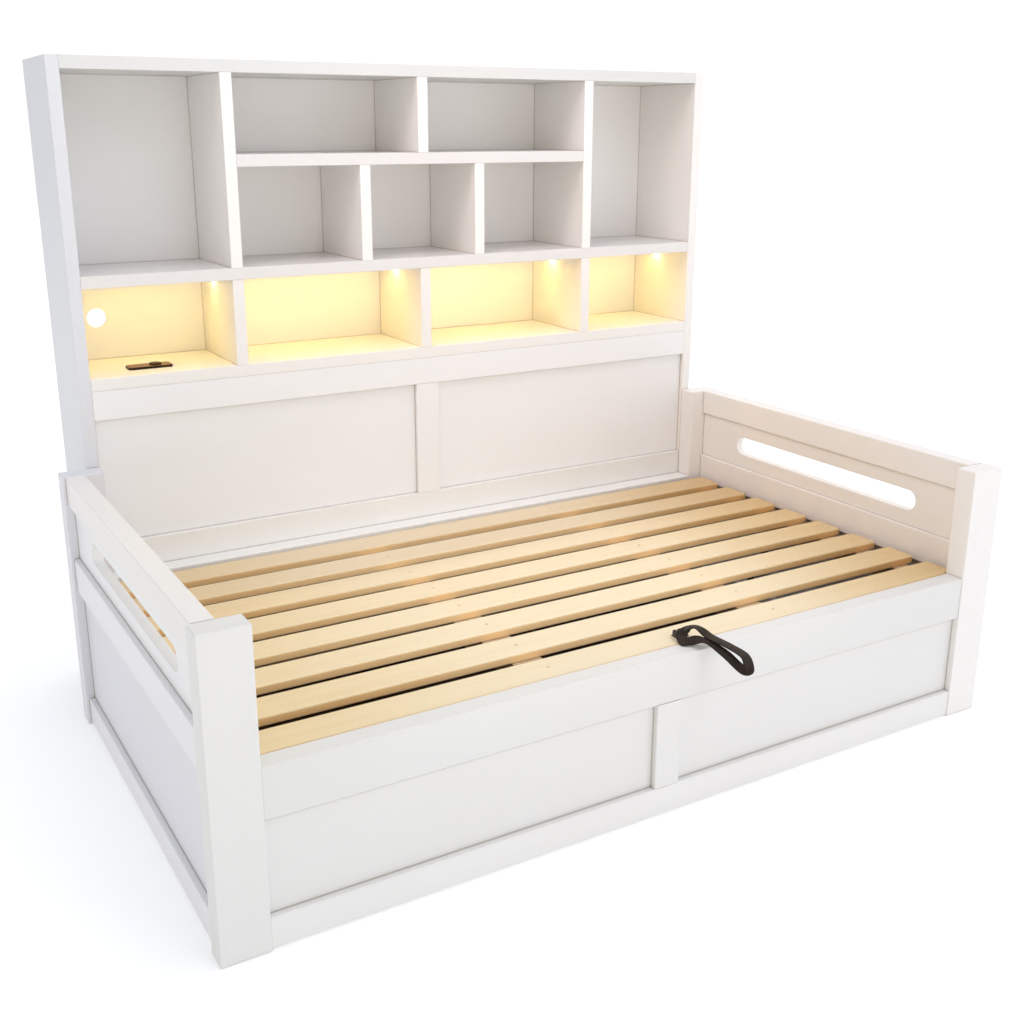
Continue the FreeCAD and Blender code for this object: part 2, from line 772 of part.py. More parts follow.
def bookcase_nodes(nodes):
    """Bookcase boards and the panelled headboard under them."""
    for name, side in SIDES:
        nodes["bookcase_" + name + "_side"] = bookcase_side(side)
        tall_x = across(side, tall_divider_inner, tall_divider_outer)
        nodes[name + "_tall_divider"] = divider(tall_x, (lit_shelf_z[1], top_z[0]))
    half = board_thickness / 2
    nodes["bookcase_top"] = board(inner_x, bookcase_y, top_z, board_round, "x")
    nodes["upper_divider"] = divider((-half, half), (middle_shelf_z[1], top_z[0]))
    nodes["middle_shelf"] = shelf((-tall_divider_inner, tall_divider_inner), middle_shelf_z)
    bay = middle_bay_width / 2
    middle_x = [across(side, bay, bay + board_thickness) for name, side in SIDES]
    nodes["middle_dividers"] = group([divider(x, (lit_shelf_z[1], middle_shelf_z[0])) for x in middle_x])
    nodes["lit_shelf"] = shelf(inner_x, lit_shelf_z)
    lit_x = [across(side, tall_divider_inner, tall_divider_outer) for name, side in SIDES]
    lit_x.append((-half, half))
    nodes["lit_dividers"] = group([divider(x, (bottom_shelf_z[1], lit_shelf_z[0])) for x in lit_x])
    nodes["bottom_shelf"] = shelf(inner_x, bottom_shelf_z)
    nodes["bookcase_back_panel"] = bookcase_back()
    rooms = group([headboard_panel(side, groove_clearance) for name, side in SIDES])
    nodes["headboard_top_rail"] = headboard_rail(headboard_top_z).cut(rooms)
    sill_rooms = group([rooms, headboard_bolts(bolt_clearance)])
    nodes["headboard_bottom_rail"] = headboard_rail(headboard_sill_z).cut(sill_rooms)
    nodes["headboard_centre_stile"] = headboard_stile().cut(rooms)
    nodes["headboard_panels"] = group([headboard_panel(side) for name, side in SIDES])
    nodes["headboard_bolts"] = headboard_bolts()
    nodes["light_strips"] = light_strips()
    nodes["charging_panel"] = charging_panel()
    nodes["light_switch"] = light_switch()


def platform_nodes(nodes):
    """Slatted platform, its hinges, its pull strap and its gas struts."""
    screw_holes = slat_screws(screw_clearance, screw_sink + cut_overrun)
    slats = group([slat(y) for y in slat_spans()])
    nodes["slats"] = slats.cut(group([screw_holes] + post_notches()))
    nodes["cross_bearers"] = cross_bearers().cut(screw_holes)
    nodes["platform_back_rail"] = platform_back_rail()
    nodes["slat_screws"] = slat_screws()
    nodes["hinge_fixed_leaves"] = group([fixed_leaf(x) for x in hinge_middles()])
    nodes["hinge_moving_leaves"] = group([moving_leaf(x) for x in hinge_middles()])
    nodes["hinge_pins"] = group([hinge_pin(x) for x in hinge_middles()])
    foot = (strut_foot_y, strut_foot_height)
    head = (strut_head_y, strut_head_z)
    nodes["strut_base_brackets"] = group([strut_bracket(side, arm_inner, *foot, -1) for name, side in SIDES])
    nodes["strut_platform_brackets"] = group(
        [strut_bracket(side, end_bearer_face, *head, 1) for name, side in SIDES])
    for name, side in SIDES:
        nodes[name + "_strut_cylinder"] = strut_cylinder(side)
        nodes[name + "_strut_rod"] = strut_rod(side)
    nodes["strap_anchor"] = strap_anchor()
    nodes["pull_strap"] = pull_strap()


def main():
    nodes = {}
    arm_nodes(nodes)
    box_nodes(nodes)
    bookcase_nodes(nodes)
    platform_nodes(nodes)
    os.makedirs("parts", exist_ok=True)
    for name, shape in nodes.items():
        shape.exportStep("parts/" + name + ".step")
        print(name, len(shape.Solids), shape.isValid(), round(shape.Volume))
    print(len(nodes), "nodes")


main()
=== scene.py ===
import json
import math
import random

import bmesh
import bpy
from mathutils import Matrix, Vector


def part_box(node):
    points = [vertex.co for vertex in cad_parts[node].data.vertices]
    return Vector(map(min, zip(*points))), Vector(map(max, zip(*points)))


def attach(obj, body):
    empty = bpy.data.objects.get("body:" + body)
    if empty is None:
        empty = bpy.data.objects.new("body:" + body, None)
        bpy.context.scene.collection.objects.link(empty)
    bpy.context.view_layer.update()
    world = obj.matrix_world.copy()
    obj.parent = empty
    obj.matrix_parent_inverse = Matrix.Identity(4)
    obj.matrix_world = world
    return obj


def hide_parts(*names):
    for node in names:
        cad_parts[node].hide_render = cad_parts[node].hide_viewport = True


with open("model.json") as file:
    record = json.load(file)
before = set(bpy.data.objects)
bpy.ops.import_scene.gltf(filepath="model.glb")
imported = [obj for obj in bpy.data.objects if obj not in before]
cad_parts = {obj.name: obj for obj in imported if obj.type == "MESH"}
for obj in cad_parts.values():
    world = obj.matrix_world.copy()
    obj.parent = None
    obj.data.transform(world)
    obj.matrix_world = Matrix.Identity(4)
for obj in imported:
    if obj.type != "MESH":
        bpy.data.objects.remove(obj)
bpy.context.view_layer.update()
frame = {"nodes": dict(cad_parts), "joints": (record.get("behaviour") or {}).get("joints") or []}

MM = 0.001
SEED = 7
WELD = 0.000002
SHARP_EDGE = math.radians(40)

# Pull strap, in millimetres from the strap's middle, the bed's front and the slats' top:
# the middle of the webbing and the way across it, from the loop's inside to its outside
STRAP_WIDTH = 25
STRAP_THICKNESS = 2.8
STRAP_ROUTE = [
    ((13, -127, 9), (21, -9, -8)), ((17, -107, 24), (24, 2, -1)), ((15, -59, 28), (24, 5, -1)),
    ((12, -8, 28), (23, 10, 1)), ((10, 17, 32), (17, 14, 6)), ((6, 42, 36), (16, 18, -3)),
    ((-2, 62, 25), (6, 24, -1)), ((-14, 62, 13), (-17, 14, 1)), ((-23, 41, 9), (-21, -2, -13)),
    ((-11, 25, 14), (-16, -10, -14)), ((-2, -4, 22), (-18, -17, 0)), ((2, -62, 15), (-20, -12, -8)),
    ((5, -111, 0), (-12, -12, -17)), ((11, -127, 0), (12, -13, -16))]
TAB_WIDTH = 14
TAB_THICKNESS = 2
TAB_ROUTE = [
    ((2, 90, 11), (1, 0, 0)), ((2, 85, 17), (1, 0, 0)), ((1, 76, 19), (10, 0, 3)), ((0, 63, 20), (8, -1, 7)),
    ((0, 57, 18), (8, -1, 7)), ((1, 66, 13), (9, 0, 4)), ((2, 84, 5), (1, 0, 0))]
CURVE_STEPS = 10
CORNER_STEPS = 3
BAND_ROUNDING = 0.7

# Weave of the webbing, in millimetres: its ribs, its twill, and the span from the band's middle where painted
# shade darkens its edge
RIB_PITCH = 1.7
TWILL_PITCH = 2.6
EDGE_SHADE_SPAN = (11.0, 12.2)

# Stitches, on both sides of one point of the strap's route
STITCH_POINT = 6
STITCH_REACH = 3
STITCH_STEPS = 4
STITCH_LENGTH = 9 * MM
STITCH_RADIUS = 0.35 * MM

# Screw heads: radius and height of each ring from the foot up, and the depth of the recess;
# a slat screw's radii are shares of the solid's, and a recess is a share of the top's radius
SLAT_SCREW_RINGS = [(0.45, -3.0 * MM), (0.98, -0.5 * MM), (0.94, 0.0)]
SLAT_SCREW_RECESS = 0.7 * MM
BRACKET_SCREW_RINGS = [
    (2.8 * MM, -0.1 * MM), (2.8 * MM, 0.6 * MM), (2.5 * MM, 1.2 * MM), (1.9 * MM, 1.5 * MM)]
BRACKET_SCREW_RECESS = 0.9 * MM
RECESS_MOUTH = (0.70, 0.15)
RECESS_FOOT = (0.45, 0.10)

# Strut brackets and the seals of the struts, whose rings are in millimetres above the tube's end
BRACKET_PLATE = 0.003
BRACKET_SCREW_OFFSET = 0.0105
COLLAR_SPOKES = 48
COLLAR_RINGS = [
    (4.4, -0.5), (9.2, -0.5), (9.2, 2.2), (8.6, 3.4), (6.6, 4.2), (6.0, 5.6), (5.2, 6.0), (4.4, 5.6)]

# Camera
IMAGE_SIDE = 1024
SENSOR_WIDTH = 36.0
CAMERA_PLACE = (-1.50516, -2.46961, 1.46473)
CAMERA_TURN = math.radians(30.315)
CAMERA_TILT = math.radians(16.818)
CAMERA_CLIP = (0.05, 200.0)
FOCAL_PIXELS = 1191.40
OPTICAL_CENTRE = (497.89, 489.74)

# Studio: the floor glows more from the near distance to the far one; each lamp has its place, the point
# it is aimed at, its size, watts, colour, and the spread of its grid in degrees
FLOOR_SIDE = 40.0
FLOOR_DROP = 0.0004
FLOOR_FADE = (1.6, 5.0)
SURROUND_STRENGTH = 1.07
LAMPS = {
    "overhead": ((-0.9, -0.4, 3.8), (0.1, 0.1, 0.4), (1.8, 1.8), 17.0, (0.91, 0.92, 1.0), 180.0),
    "front": ((-0.4, -5.2, 1.3), (0.1, 0.6, 1.3), (2.0, 0.8), 2.0, (1.0, 0.86, 0.74), 40.0),
    "inner": ((-1.0, -0.4, 2.8), (0.95, 0.15, 0.6), (1.0, 1.0), 3.1, (1.0, 0.77, 0.76), 70.0),
    "key": ((0.4, -3.4, 3.9), (0.1, 0.0, 0.5), (1.2, 1.2), 12.7, (0.85, 0.90, 1.0), 180.0),
    "left": ((-2.6, -2.2, 2.4), (0.1, 0.3, 0.9), (1.4, 1.4), 3.2, (1.0, 0.94, 0.65), 180.0),
    "low": ((-3.4, -0.6, 0.35), (-1.0, 0.0, 0.2), (1.2, 0.5), 0.35, (0.90, 0.96, 1.0), 50.0),
    "right": ((3.0, -3.5, 1.2), (0.8, -0.6, 0.3), (1.5, 1.5), 6.8, (0.89, 0.93, 1.0), 180.0),
    "platform": ((-0.1, -1.35, 1.15), (-0.1, 0.0, 0.32), (1.2, 0.3), 0.47, (1.0, 0.97, 0.95), 40.0),
}

# Painted shade in the inner corners where painted boards meet, and where a panel sits in its frame
CORNER_SHADE_REACH = 0.0042
PANEL_CORNER_SHADE_REACH = 0.007
CORNER_SHADE_SAMPLES = 8
CORNER_SHADE_OPENING = (0.55, 0.90)
CORNER_SHADE_DEPTH = 0.7
PAINTED_SHADE_COLOUR = (0.46, 0.40, 0.33)

# Shadow on the front panels, from below the overhanging rail up to it
RAIL_SHADOW = (0.012, 0.008)
RAIL_SHADOW_DEPTH = 0.35

# White paint on boards and on panels, as the stops of a ramp
PAINT_IOR = 1.46
BOARD_WHITES = [(0.30, (0.868, 0.846, 0.815)), (0.52, (0.880, 0.860, 0.832)), (0.75, (0.889, 0.871, 0.846))]
PANEL_WHITES = [(0.28, (0.868, 0.846, 0.815)), (0.52, (0.879, 0.859, 0.831)), (0.76, (0.888, 0.870, 0.845))]

# Tints of the white, which are painted light and shade: the bed's paint is one white, and the tints bring
# each board to its tone in the photograph where the lamps alone don't, so they belong to that view more than
# to the paint
PLAIN = (1.0, 1.0, 1.0)
GREYER = (0.90, 0.90, 0.91)
BRIGHTER = (1.05, 1.045, 1.045)
COOLER = (1.0, 1.025, 1.06)
MUTED = (0.950, 0.960, 0.966)
BLUER = (0.833, 0.864, 0.924)
SHADY = (0.880, 0.902, 0.966)
DULLER = (0.830, 0.852, 0.860)
SOFTER = (0.905, 0.917, 0.920)
DIMMER = (0.870, 0.884, 0.886)
CLEARER = (0.965, 0.985, 1.030)
MILDER = (0.970, 0.985, 0.985)

# Painted boards: which way their grain runs, their tint of painted light and shade, and the nodes
PAINTED_BOARDS = {
    "lit_floor": ("X", PLAIN, "bottom_shelf"),
    "ledge": ("X", MILDER, "base_back_rail headboard_bottom_rail"),
    "front_rail": ("X", DIMMER, "front_top_rail"),
    "front_foot_rail": ("X", MUTED, "front_bottom_rail"),
    "case_top": ("X", DULLER, "bookcase_top"),
    "shelves": ("X", GREYER, "middle_shelf lit_shelf"),
    "headboard_rail": ("X", COOLER, "headboard_top_rail"),
    "arms": ("Y", PLAIN, """left_arm_top_rail right_arm_top_rail right_arm_slot_panel right_arm_middle_rail
        right_arm_bottom_rail"""),
    "left_arm_rails": ("Y", CLEARER, "left_arm_middle_rail left_arm_bottom_rail"),
    "left_slot_panel": ("Y", COOLER, "left_arm_slot_panel"),
    "uprights": ("Z", PLAIN, "right_front_post right_back_post bookcase_right_side lit_dividers"),
    "near_post": ("Z", SOFTER, "left_front_post"),
    "far_post": ("Z", SHADY, "left_back_post"),
    "left_side": ("Z", BLUER, "bookcase_left_side"),
    "front_stile": ("Z", SOFTER, "front_centre_stile"),
    "dividers": ("Z", BRIGHTER, "left_tall_divider right_tall_divider upper_divider middle_dividers"),
    "headboard_stile": ("Z", COOLER, "headboard_centre_stile"),
}

# Painted panels: the reach of their painted corner shade, their tint of painted light and shade, and the
# nodes
PAINTED_PANELS = {
    "arm_panels": (PANEL_CORNER_SHADE_REACH, SHADY, "left_arm_lower_panel right_arm_lower_panel"),
    "front_panels": (PANEL_CORNER_SHADE_REACH, SOFTER, "front_panels"),
    "headboard_panels": (PANEL_CORNER_SHADE_REACH, COOLER, "headboard_panels"),
    "back_panels": (CORNER_SHADE_REACH, PLAIN, "bookcase_back_panel"),
}

# The bookcase's back, with painted shade that makes it a little darker towards its left end, for the same
# reason
BACK_SHADE = (0.920, 0.935, 0.945)
BACK_SHADE_SPAN = (-1.0, 0.1)

# Half-painted boards: how far their bare face goes in
BARE_SKIN = (0.0005, 0.0015)

# Slats: where their rounded edges end, and the spans over which painted shade makes the rear boards and right
# ends browner, as they look in the photograph
WOOD_IOR = 1.45
SLAT_ROUNDING = (0.0012, 0.0042)
SLAT_REAR_SHADE_SPAN = (-0.15, 0.32)
SLAT_RIGHT_SHADE_SPAN = (0.35, 0.85)
# Cross bearers' timber made darker, as painted shade under the slats
BEARER_SHADE_TINT = (0.66, 0.58, 0.50)

# Charging panel: how thick its printed face is
PRINT_SKIN = (0.0007, 0.0002)

# Light strips: the dots behind the cover, how high the cover goes, and the reach of the whiter end
DOT_PITCH = 0.0167
COVER_SKIN = (0.0004, 0.0008)
WHITE_END = (0.010, 0.045)
LIGHT_STRENGTH = 24.4


class Value:
    """Socket that stands in sums as a number does: each sum adds a Math node to its graph."""

    def __init__(self, graph, socket):
        self.graph = graph
        self.socket = socket

    def maths(self, operation, *terms):
        return self.graph.node("ShaderNodeMath", {"operation": operation}, dict(enumerate(terms)))

    def __add__(self, other):
        return self.maths("ADD", self, other)

    __radd__ = __add__

    def __sub__(self, other):
        return self.maths("SUBTRACT", self, other)

    def __rsub__(self, other):
        return self.maths("SUBTRACT", other, self)

    def __mul__(self, other):
        return self.maths("MULTIPLY", self, other)

    __rmul__ = __mul__

    def __truediv__(self, other):
        return self.maths("DIVIDE", self, other)

    def __rtruediv__(self, other):
        return self.maths("DIVIDE", other, self)

    def floor(self):
        return self.maths("FLOOR", self)

    def size(self):
        return self.maths("ABSOLUTE", self)

    def most(self, other):
        return self.maths("MAXIMUM", self, other)

    def waves(self, rate):
        """Waves from 0 to 1, at a rate in radians."""
        return self.maths("SINE", self * rate) * 0.5 + 0.5

    def between(self, low, high):
        """0 up to low, 1 from high on, and a smooth step from one to the other."""
        settings = {"interpolation_type": "SMOOTHSTEP"}
        sockets = {"Value": self, "From Min": low, "From Max": high}
        return self.graph.node("ShaderNodeMapRange", settings, sockets)


class Graph:
    """Node tree that is built up node by node."""

    def __init__(self, tree):
        self.tree = tree

    def feed(self, socket, value):
        if isinstance(value, Value):
            self.tree.links.new(value.socket, socket)
        elif socket.type == "RGBA" and len(value) == 3:
            socket.default_value = (*value, 1.0)
        else:
            socket.default_value = value

    def node(self, kind, settings=(), sockets=(), output=0):
        """Adds a node: its settings first, then what its sockets hold or are linked to."""
        made = self.tree.nodes.new(kind)
        for key, value in dict(settings).items():
            if key == "stops":
                self.set_stops(made.color_ramp, value)
            else:
                setattr(made, key, value)
        for key, value in dict(sockets).items():
            self.feed(made.inputs[key], value)
        return Value(self, made.outputs[output])

    def set_stops(self, ramp, stops):
        while len(ramp.elements) < len(stops):
            ramp.elements.new(1.0)
        for element, (place, colour) in zip(ramp.elements, stops):
            element.position = place
            element.color = (*colour, 1.0)

    def axis(self, point, letter):
        return self.node("ShaderNodeSeparateXYZ", (), {"Vector": point}, letter)

    def point(self, x, y, z):
        return self.node("ShaderNodeCombineXYZ", (), {"X": x, "Y": y, "Z": z})

    def stretched(self, point, scales):
        return self.node("ShaderNodeVectorMath", {"operation": "MULTIPLY"}, {0: point, 1: scales})

    def moved(self, point, offset):
        return self.node("ShaderNodeVectorMath", {"operation": "ADD"}, {0: point, 1: offset})

    def length(self, point):
        return self.node("ShaderNodeVectorMath", {"operation": "LENGTH"}, {0: point}, "Value")

    def noise(self, point, scale=1.0, detail=2.0, roughness=0.5, distortion=0.0):
        sockets = {"Vector": point, "Scale": scale, "Detail": detail, "Roughness": roughness,
                   "Distortion": distortion}
        return self.node("ShaderNodeTexNoise", (), sockets, "Fac")

    def streaks(self, point, scales, **kind):
        """Noise with a scale of its own along each axis."""
        return self.noise(self.stretched(point, scales), **kind)

    def chance(self, value):
        """Random number from 0 to 1 for each whole number."""
        return self.node("ShaderNodeTexWhiteNoise", {"noise_dimensions": "1D"}, {"W": value}, "Value")

    def ramp(self, value, stops):
        return self.node("ShaderNodeValToRGB", {"stops": stops}, {"Fac": value}, "Color")

    def mixed(self, share, first, second):
        """Colour that goes from the first to the second."""
        return self.node("ShaderNodeMix", {"data_type": "RGBA"}, {0: share, 6: first, 7: second}, 2)

    def relief(self, height, depth, strength):
        """Normal of a surface whose height goes from 0 to 1 over a depth in metres."""
        sockets = {"Height": height, "Distance": depth, "Strength": strength}
        return self.node("ShaderNodeBump", (), sockets, "Normal")


class Finish(Graph):
    """Material of one surface; what is the same all over it is given as constants."""

    def __init__(self, name, constants=()):
        self.material = bpy.data.materials.new(name)
        self.material.use_nodes = True
        super().__init__(self.material.node_tree)
        self.tree.nodes.clear()
        self.shader = self.tree.nodes.new("ShaderNodeBsdfPrincipled")
        output = self.tree.nodes.new("ShaderNodeOutputMaterial")
        self.tree.links.new(self.shader.outputs["BSDF"], output.inputs["Surface"])
        for socket, value in dict(constants).items():
            self.feed(self.shader.inputs[socket], value)

    def shows(self, **inputs):
        """Links the shader's changing inputs, such as base_color, roughness and normal."""
        for key, value in inputs.items():
            self.feed(self.shader.inputs[key.replace("_", " ").title()], value)
        return self.material

    def place(self):
        """Point in the piece's own frame, in metres."""
        return self.node("ShaderNodeTexCoord", output="Object")

    def with_painted_corner_shade(self, colour, reach):
        """Paint colour with painted shade: darker within a short reach of the inner corners between boards.
        """
        settings = {"samples": CORNER_SHADE_SAMPLES}
        opening = self.node("ShaderNodeAmbientOcclusion", settings, {"Distance": reach}, "AO")
        # painted shade: the less of the surroundings is open near a point, the darker its colour
        corner_shade = 1 - opening.between(*CORNER_SHADE_OPENING)
        return self.mixed(corner_shade * CORNER_SHADE_DEPTH, colour, PAINTED_SHADE_COLOUR)


def along(axis, length, width):
    """Scales of a pattern that is long along one axis and narrow across it, as repeats per metre."""
    return tuple(length if letter == axis else width for letter in "XYZ")


def tinted(tint, stops):
    """Stops of a ramp with their colours times a tint."""
    return [(place, tuple(part * share for part, share in zip(colour, tint))) for place, colour in stops]


def painted_wood(name, axis, tint):
    """Satin white paint on a planed board: the grain shows faintly through the film, and painted shade
    darkens its inner corners.
    """
    finish = Finish("white_paint_on_" + name, {"IOR": PAINT_IOR})
    place = finish.place()
    grain = finish.streaks(place, along(axis, 3.0, 110.0), detail=5.0, roughness=0.62, distortion=0.35)
    pores = finish.streaks(place, along(axis, 22.0, 620.0), detail=3.0, roughness=0.6)
    cloud = finish.noise(place, scale=2.6, detail=3.0, roughness=0.55)
    stipple = finish.noise(place, scale=640.0)
    colour = finish.ramp(grain * 0.35 + cloud * 0.65, tinted(tint, BOARD_WHITES))
    height = grain * 0.55 + pores * 0.2 + stipple * 0.25
    return finish.shows(base_color=finish.with_painted_corner_shade(colour, CORNER_SHADE_REACH),
                        roughness=0.34 + cloud * 0.10 + stipple * 0.05,
                        normal=finish.relief(height, depth=0.00022, strength=0.30))


def painted_panel(name, reach, tint):
    """White paint rolled on to smooth panels, with painted shade in their inner corners and a painted shadow
    line under an overhanging rail.
    """
    finish = Finish("white_paint_on_" + name, {"IOR": PAINT_IOR})
    place = finish.place()
    cloud = finish.noise(place, scale=2.1, detail=4.0, roughness=0.55)
    stipple = finish.noise(place, scale=430.0, detail=3.0, roughness=0.55)
    drift = finish.streaks(place, (9.0, 9.0, 26.0), detail=3.0)
    colour = finish.ramp(cloud * 0.7 + drift * 0.3, tinted(tint, PANEL_WHITES))
    if name == "front_panels":
        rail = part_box("front_top_rail")[0].z
        under = finish.axis(place, "Z").between(*(rail - drop for drop in RAIL_SHADOW))
        colour = finish.mixed(under * RAIL_SHADOW_DEPTH, colour, PAINTED_SHADE_COLOUR)
    if name == "back_panels":
        # painted shade: the bookcase's back darker towards its left end
        right = finish.axis(place, "X").between(*BACK_SHADE_SPAN)
        colour = finish.mixed(right, finish.stretched(colour, BACK_SHADE), colour)
    return finish.shows(base_color=finish.with_painted_corner_shade(colour, reach),
                        roughness=0.40 + cloud * 0.08 + stipple * 0.06,
                        normal=finish.relief(stipple, depth=0.00012, strength=0.5))


def half_painted_board(name):
    """Board that is painted on its outside alone; its face in the box is bare brown hardboard, and painted
    shade darkens the inner corners of its paint.
    """
    finish = Finish("white_paint_outside_" + name, {"IOR": PAINT_IOR})
    place = finish.place()
    cloud = finish.noise(place, scale=2.1, detail=4.0, roughness=0.55)
    fibres = finish.noise(place, scale=700.0, detail=4.0, roughness=0.65)
    paint = finish.with_painted_corner_shade(finish.ramp(cloud, PANEL_WHITES), CORNER_SHADE_REACH)
    board = finish.mixed(fibres, (0.44, 0.27, 0.13), (0.62, 0.42, 0.23))
    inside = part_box(name)[0].y
    outward = finish.axis(place, "Y").between(*(inside + skin for skin in BARE_SKIN))
    return finish.shows(base_color=finish.mixed(outward, board, paint),
                        roughness=0.40 + cloud * 0.08 + fibres * 0.06,
                        normal=finish.relief(fibres, depth=0.00012, strength=0.5))


def slat_pine(slats):
    """Planed pale softwood, every slat from another board; its sides are browner than its wide faces, partly
    the wood's own colour and partly painted shade, and painted shade browns each slat towards its ends, the
    rear boards and the right ends.
    """
    (low, high), (beyond, _) = sorted(slats, key=lambda box: box[0].y)[:2]
    pitch = beyond.y - low.y
    gap = beyond.y - high.y
    finish = Finish("planed_pine_slats", {"IOR": WOOD_IOR})
    place = finish.place()
    x, y, z = [finish.axis(place, letter) for letter in "XYZ"]
    number = ((y - (low.y - gap / 2)) / pitch).floor()
    luck = finish.chance(number + 3.5)
    shifted = finish.moved(place, finish.point(luck * 9.0, luck * 4.0, luck * 2.0))
    rings = finish.streaks(shifted, along("X", 0.45, 22.0), detail=3.0, distortion=0.4)
    bands = rings.waves(30.0)
    fibres = finish.streaks(shifted, along("X", 5.0, 420.0), detail=5.0, roughness=0.62)
    cloud = finish.streaks(shifted, along("X", 1.1, 7.0), detail=3.0)
    tone = bands * 0.14 + fibres * 0.36 + cloud * 0.50
    pale = finish.ramp(tone, [(0.26, (0.805, 0.672, 0.445)), (0.48, (0.840, 0.728, 0.508)),
                              (0.74, (0.860, 0.765, 0.560))])
    brown = finish.ramp(tone, [(0.25, (0.910, 0.595, 0.280)), (0.50, (0.955, 0.670, 0.340)),
                               (0.78, (0.965, 0.720, 0.395))])
    # painted shade: the rear boards' wide faces browner
    wide = finish.mixed(y.between(*SLAT_REAR_SHADE_SPAN), pale, finish.stretched(pale, (0.92, 0.87, 0.84)))
    near, deep = SLAT_ROUNDING
    # sides and rounded edges browner than the wide faces: partly the wood's own colour, partly painted shade
    above = z.between(high.z - deep, high.z - near)
    below = 1 - z.between(low.z + near, low.z + deep)
    face = finish.mixed(above.most(below), brown, wide)
    # painted shade: each slat browner towards both its ends, beside the arms
    outward = (x - (low.x + high.x) / 2).size() / ((high.x - low.x) / 2)
    ends_shaded = finish.mixed(outward.between(0.25, 1.0), face, finish.stretched(face, (0.96, 0.87, 0.71)))
    # painted shade: browner towards the right end
    darker = finish.stretched(ends_shaded, (0.89, 0.84, 0.76))
    right_end_shaded = finish.mixed(x.between(*SLAT_RIGHT_SHADE_SPAN), ends_shaded, darker)
    tint = finish.mixed(luck * 0.25, right_end_shaded, finish.mixed(0.5, right_end_shaded, (0.800, 0.640, 0.430)))
    return finish.shows(base_color=tint, roughness=0.46 + fibres * 0.14,
                        normal=finish.relief(bands * 0.25 + fibres * 0.75, depth=0.00018, strength=0.35))


def bare_timber(axis, tint):
    """Planed softwood without lacquer."""
    finish = Finish("bare_timber_" + axis.lower(), {"IOR": WOOD_IOR})
    place = finish.place()
    rings = finish.streaks(place, along(axis, 0.8, 24.0), detail=3.0, distortion=0.5)
    bands = rings.waves(30.0)
    fibres = finish.streaks(place, along(axis, 7.0, 320.0), detail=4.0, roughness=0.6)
    tone = bands * 0.30 + fibres * 0.70
    colour = finish.ramp(tone, tinted(tint, [(0.20, (0.690, 0.530, 0.340)), (0.50, (0.790, 0.645, 0.450)),
                                             (0.80, (0.850, 0.720, 0.530))]))
    return finish.shows(base_color=colour, roughness=0.60 + fibres * 0.18,
                        normal=finish.relief(tone, depth=0.0003, strength=0.5))


def stain_and_shade_plywood():
    """Rotary-cut face veneer with wide wavy figure, under a dark brown stain, kept near black as painted
    shade for the box under the slats.
    """
    finish = Finish("stain_and_shade_plywood", {"Specular IOR Level": 0.0})
    place = finish.place()
    figure = finish.streaks(place, along("X", 1.3, 6.5), detail=4.0, roughness=0.55, distortion=1.2)
    fibres = finish.streaks(place, along("X", 9.0, 380.0), detail=3.0, roughness=0.6)
    tone = figure.waves(40.0) * 0.4 + fibres * 0.6
    colour = finish.ramp(tone, [(0.25, (0.036, 0.019, 0.010)), (0.75, (0.082, 0.045, 0.024))])
    return finish.shows(base_color=colour, roughness=0.52 + fibres * 0.18,
                        normal=finish.relief(fibres, depth=0.0002, strength=0.5))


def zinc_plate():
    """Zinc-plated steel: bright, faintly clouded and brushed."""
    finish = Finish("zinc_plated_steel", {"Metallic": 1.0})
    place = finish.place()
    cloud = finish.noise(place, scale=60.0, detail=3.0, roughness=0.6)
    brush = finish.streaks(place, along("X", 90.0, 900.0))
    colour = finish.mixed(cloud, (0.50, 0.50, 0.48), (0.68, 0.68, 0.66))
    return finish.shows(base_color=colour, roughness=0.28 + brush * 0.18,
                        normal=finish.relief(brush, depth=0.00003, strength=0.4))


def yellow_zinc():
    """Yellow-passivated screws, a little uneven in colour."""
    finish = Finish("yellow_zinc", {"Metallic": 0.35})
    cloud = finish.noise(finish.place(), scale=420.0, detail=3.0, roughness=0.6)
    colour = finish.mixed(cloud, (0.66, 0.49, 0.26), (0.84, 0.67, 0.41))
    return finish.shows(base_color=colour, roughness=0.42 + cloud * 0.16)


def chromed_rod():
    """Hard chrome, with faint wipe marks along the rod."""
    finish = Finish("chromed_rod", {"Metallic": 1.0})
    wipe = finish.streaks(finish.place(), (700.0, 60.0, 60.0))
    colour = finish.mixed(wipe, (0.70, 0.70, 0.71), (0.80, 0.80, 0.81))
    return finish.shows(base_color=colour, roughness=0.08 + wipe * 0.10)


def black_enamel():
    """Satin black paint on steel, a little orange-peeled."""
    finish = Finish("black_enamel")
    place = finish.place()
    peel = finish.noise(place, scale=900.0)
    cloud = finish.noise(place, scale=35.0, detail=3.0, roughness=0.6)
    colour = finish.mixed(cloud, (0.016, 0.015, 0.015), (0.032, 0.030, 0.029))
    return finish.shows(base_color=colour, roughness=0.30 + cloud * 0.14,
                        normal=finish.relief(peel, depth=0.00008, strength=0.4))


